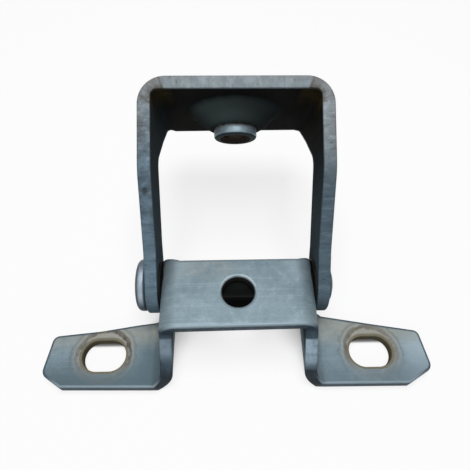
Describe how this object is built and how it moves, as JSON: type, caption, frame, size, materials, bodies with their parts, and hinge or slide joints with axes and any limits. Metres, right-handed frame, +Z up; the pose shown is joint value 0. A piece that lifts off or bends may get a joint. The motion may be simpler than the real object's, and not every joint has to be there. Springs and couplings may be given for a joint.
{
  "type": "tailgate hinge",
  "caption": "Pressed-steel tailgate hinge: a low bridge bracket with two slotted feet carries a U-shaped arm on a riveted pin, and a dished web holds the arm's threaded collar.",
  "frame": {"origin": "on the mounting face under the feet, midway between the centres of the two slots", "axes": "+X along the pivot towards the pin's hammered end, +Y from the bracket's front edge back to the arm, +Z up from the mounting face"},
  "size_m": [0.1124, 0.0864, 0.0549],
  "materials": {
    "plated_bracket": "dull blue-grey zinc plating, rubbed and stained round the slots",
    "plated_arm": "dull blue-grey zinc plating, olive-brown film inside the bend",
    "pin_steel": "smooth plated steel, worn on the head's rim",
    "bush_plastic": "dull black polymer",
    "collar_steel": "turned plated steel with light rust at its foot and in the thread"
  },
  "bodies": {
    "base": {"base_bracket": "plated_bracket", "hinge_pin": "pin_steel"},
    "arm": {"hinge_arm": "plated_arm", "bush_left": "bush_plastic", "bush_right": "bush_plastic", "threaded_collar": "collar_steel"}
  },
  "joints": [
    {"name": "arm_swing", "type": "hinge", "parent": "base", "child": "arm", "pos_m": [0, 0.0186, 0.0116], "axis": [1, 0, 0], "range_deg": [-35, 65]}
  ]
}
